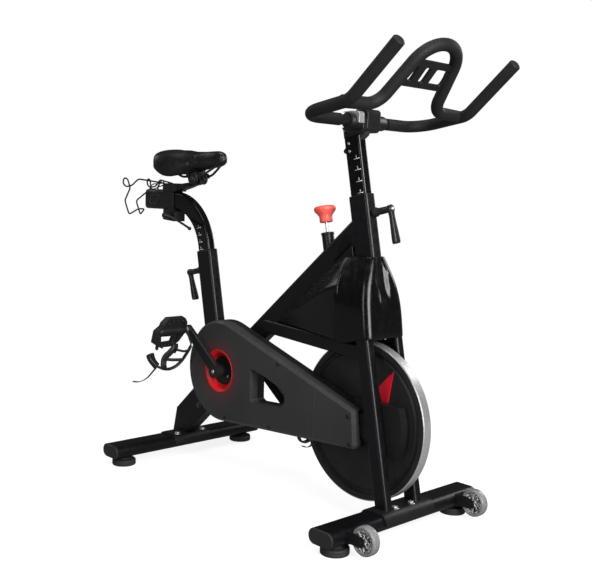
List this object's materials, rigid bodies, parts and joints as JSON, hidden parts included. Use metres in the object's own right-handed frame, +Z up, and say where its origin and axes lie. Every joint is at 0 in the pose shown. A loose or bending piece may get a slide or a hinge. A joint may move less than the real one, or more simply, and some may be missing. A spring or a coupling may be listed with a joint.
{
  "type": "indoor spin bike",
  "caption": "Upright indoor spin bike with a belt-driven flywheel, sliding saddle and handlebar posts, caged pedals and levelling feet.",
  "frame": {"origin": "middle of the bike's length and width, at floor level", "axes": "+X towards the front of the bike, +Y to the rider's left, +Z up"},
  "size_m": [1.3282, 0.549, 1.178],
  "materials": {
    "frame_paint": "satin black powder coat",
    "post_paint": "gloss black",
    "bracket_plastic": "moulded black",
    "guard_plastic": "smoky dark grey",
    "shroud_plastic": "gloss black",
    "bolt_steel": "machined",
    "cage_wire": "dark wire",
    "clamp_black": "satin black",
    "axle_steel": "machined",
    "pulley_alloy": "cast",
    "flywheel_iron": "dark painted faces and a polished rim",
    "belt_rubber": "ribbed",
    "pedal_plastic": "moulded dark grey",
    "saddle_cover": "black vinyl",
    "saddle_plastic": "moulded black",
    "grip_foam": "dark grey dipped foam",
    "knob_plastic": "coral red",
    "wheel_polymer": "translucent pale grey",
    "foot_rubber": "moulded black"
  },
  "bodies": {
    "frame": {"bottom_bracket_shell": "frame_paint", "seat_tube": "frame_paint", "main_beam": "frame_paint", "head_tube": "frame_paint", "fork_legs": "frame_paint", "lower_rails": "frame_paint", "rear_leg": "frame_paint", "front_stabiliser": "frame_paint", "rear_stabiliser": "frame_paint", "stabiliser_end_caps": "bracket_plastic", "stabiliser_brackets": "frame_paint", "caster_brackets": "bracket_plastic", "front_shroud": "shroud_plastic", "triangle_covers": "shroud_plastic", "guard_outer": "guard_plastic", "guard_inner": "guard_plastic", "fasteners": "bolt_steel", "crank_bearings": "bolt_steel", "flywheel_axle": "bolt_steel", "axle_plates": "frame_paint", "drive_belt": "belt_rubber", "post_sleeves": "bracket_plastic"},
    "crank": {"crank_axle": "axle_steel", "crank_pulley": "pulley_alloy", "crank_disc": "bracket_plastic", "crank_arm_right": "clamp_black", "crank_arm_left": "clamp_black", "pedal_spindle_right": "bolt_steel", "pedal_spindle_left": "bolt_steel"},
    "flywheel": {"flywheel": "flywheel_iron", "flywheel_pulley": "pulley_alloy", "flywheel_bearings": "bolt_steel"},
    "right_pedal": {"pedal_right": "pedal_plastic", "toe_cage_right": "pedal_plastic"},
    "left_pedal": {"pedal_left": "pedal_plastic", "toe_cage_left": "pedal_plastic"},
    "seat_post": {"seat_post": "post_paint"},
    "seat_slider": {"seat_slider": "frame_paint", "bottle_cage": "cage_wire"},
    "saddle": {"saddle_pad": "saddle_cover", "saddle_base": "saddle_plastic", "saddle_rails": "bolt_steel", "saddle_clamp": "clamp_black"},
    "handlebar": {"handlebar_post": "post_paint", "handlebar_clamp": "frame_paint", "handlebar_tube": "post_paint", "handlebar_grip": "grip_foam", "media_rack": "bracket_plastic"},
    "seat_lever": {"seat_lever": "clamp_black"},
    "handlebar_lever": {"handlebar_lever": "clamp_black"},
    "slider_lever": {"slider_lever": "clamp_black"},
    "brake": {"brake_rod": "bolt_steel", "brake_pad": "bracket_plastic"},
    "brake_knob": {"brake_knob": "knob_plastic"},
    "right_transport_wheel": {"transport_wheel_right": "wheel_polymer"},
    "left_transport_wheel": {"transport_wheel_left": "wheel_polymer"},
    "front_right_foot": {"levelling_foot_front_right": "foot_rubber"},
    "front_left_foot": {"levelling_foot_front_left": "foot_rubber"},
    "rear_right_foot": {"levelling_foot_rear_right": "foot_rubber"},
    "rear_left_foot": {"levelling_foot_rear_left": "foot_rubber"}
  },
  "joints": [
    {"name": "flywheel_spin", "type": "hinge", "parent": "frame", "child": "flywheel", "pos_m": [0.41, 0, 0.2542], "axis": [0, 1, 0], "continuous": true},
    {"name": "crank_spin", "type": "hinge", "parent": "frame", "child": "crank", "pos_m": [-0.0907, 0, 0.3056], "axis": [0, 1, 0], "continuous": true},
    {"name": "right_pedal_spin", "type": "hinge", "parent": "crank", "child": "right_pedal", "pos_m": [-0.22503, -0.143, 0.40979], "axis": [0, 1, 0], "continuous": true},
    {"name": "left_pedal_spin", "type": "hinge", "parent": "crank", "child": "left_pedal", "pos_m": [0.04362, 0.143, 0.20141], "axis": [0, 1, 0], "continuous": true},
    {"name": "seat_height", "type": "slide", "parent": "frame", "child": "seat_post", "axis": [-0.2079, 0, 0.9781], "range_m": [-0.01, 0.14]},
    {"name": "saddle_fore_aft", "type": "slide", "parent": "seat_post", "child": "seat_slider", "axis": [1, 0, 0], "range_m": [-0.08, 0]},
    {"name": "saddle_tilt", "type": "hinge", "parent": "seat_slider", "child": "saddle", "pos_m": [-0.3027, 0, 0.853], "axis": [0, 1, 0], "range_deg": [-10, 10]},
    {"name": "handlebar_height", "type": "slide", "parent": "frame", "child": "handlebar", "axis": [-0.2079, 0, 0.9781], "range_m": [-0.09, 0.06]},
    {"name": "seat_lever_turn", "type": "hinge", "parent": "frame", "child": "seat_lever", "pos_m": [-0.23968, 0, 0.58616], "axis": [0.9781, 0, 0.2079], "range_deg": [-170, 170]},
    {"name": "handlebar_lever_turn", "type": "hinge", "parent": "frame", "child": "handlebar_lever", "pos_m": [0.38007, 0, 0.77003], "axis": [0.9781, 0, 0.2079], "range_deg": [-170, 170]},
    {"name": "slider_lever_turn", "type": "hinge", "parent": "seat_slider", "child": "slider_lever", "pos_m": [-0.4187, -0.03, 0.7385], "axis": [0, 1, 0], "range_deg": [-40, 60]},
    {"name": "brake_press", "type": "slide", "parent": "frame", "child": "brake", "axis": [0.2079, 0, -0.9781], "range_m": [0, 0.008], "stiffness_N_per_m": 1500, "springref_m": -0.006},
    {"name": "brake_knob_turn", "type": "hinge", "parent": "brake", "child": "brake_knob", "pos_m": [0.2413, 0, 0.788], "axis": [-0.2079, 0, 0.9781], "range_deg": [-360, 360]},
    {"name": "right_transport_wheel_spin", "type": "hinge", "parent": "frame", "child": "right_transport_wheel", "pos_m": [0.6133, -0.2053, 0.049], "axis": [0, 1, 0], "continuous": true},
    {"name": "left_transport_wheel_spin", "type": "hinge", "parent": "frame", "child": "left_transport_wheel", "pos_m": [0.6133, 0.2053, 0.049], "axis": [0, 1, 0], "continuous": true},
    {"name": "front_right_foot_turn", "type": "hinge", "parent": "frame", "child": "front_right_foot", "pos_m": [0.5338, -0.2215, 0.02], "axis": [0, 0, 1], "range_deg": [-180, 180]},
    {"name": "front_left_foot_turn", "type": "hinge", "parent": "frame", "child": "front_left_foot", "pos_m": [0.5338, 0.2215, 0.02], "axis": [0, 0, 1], "range_deg": [-180, 180]},
    {"name": "rear_right_foot_turn", "type": "hinge", "parent": "frame", "child": "rear_right_foot", "pos_m": [-0.3412, -0.225, 0.02], "axis": [0, 0, 1], "range_deg": [-180, 180]},
    {"name": "rear_left_foot_turn", "type": "hinge", "parent": "frame", "child": "rear_left_foot", "pos_m": [-0.3412, 0.225, 0.02], "axis": [0, 0, 1], "range_deg": [-180, 180]}
  ],
  "couplings": [
    {"joint": "crank_spin", "follows": "flywheel_spin", "ratio": 0.25}
  ]
}
